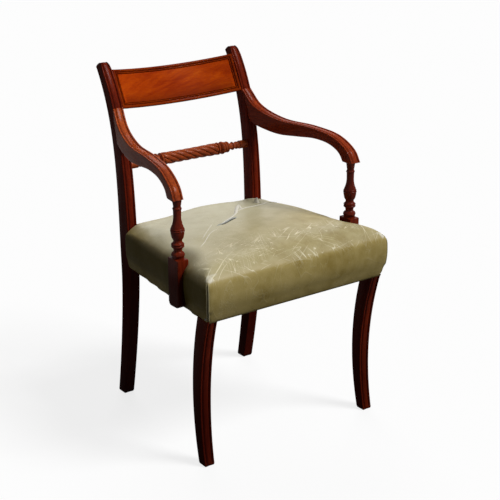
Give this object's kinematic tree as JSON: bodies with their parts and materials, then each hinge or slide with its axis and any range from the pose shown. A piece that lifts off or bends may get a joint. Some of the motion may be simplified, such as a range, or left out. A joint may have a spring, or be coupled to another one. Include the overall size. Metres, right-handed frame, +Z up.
{
  "type": "elbow chair",
  "caption": "Mahogany elbow chair with sabre legs, reeded swept arms on turned supports, bowed crest rail, rope-twist back rail and a stuffed leather seat.",
  "frame": {"origin": "on the floor under the middle of the chair's box", "axes": "+Z up; -Y is the front, the way the sitter looks; +X is to the right seen from the front"},
  "size_m": [0.538, 0.5556, 0.8485],
  "materials": {
    "mahogany": "glossy french polish, dark red",
    "figured_mahogany": "glossy french polish, orange-brown figure",
    "beech": "bare, aged",
    "webbing": "plain woven jute",
    "hessian": "open plain weave",
    "horsehair": "curled hair",
    "leather": "worn olive-green hide, satin",
    "screws": "dull dark iron",
    "tacks": "blued cut tacks"
  },
  "bodies": {
    "root": {"rear_upright_left": "mahogany", "rear_upright_right": "mahogany", "front_leg_left": "mahogany", "front_leg_right": "mahogany", "crest_rail": "mahogany", "crest_bead_top": "mahogany", "crest_bead_bottom": "mahogany", "crest_bead_left": "mahogany", "crest_bead_right": "mahogany", "twist_rail": "mahogany", "arm_left": "mahogany", "arm_right": "mahogany", "arm_support_left": "mahogany", "arm_support_right": "mahogany", "front_seat_rail": "beech", "rear_seat_rail": "beech", "side_seat_rail_left": "beech", "side_seat_rail_right": "beech", "front_corner_brace_left": "beech", "front_corner_brace_right": "beech", "rear_corner_brace_left": "beech", "rear_corner_brace_right": "beech", "crest_panel": "figured_mahogany", "brace_screws": "screws", "support_screws": "screws", "webbing_across": "webbing", "webbing_along": "webbing", "webbing_tacks": "tacks", "cover_tacks": "tacks", "hessian": "hessian", "seat_stuffing": "horsehair", "leather_cover": "leather"}
  },
  "joints": []
}
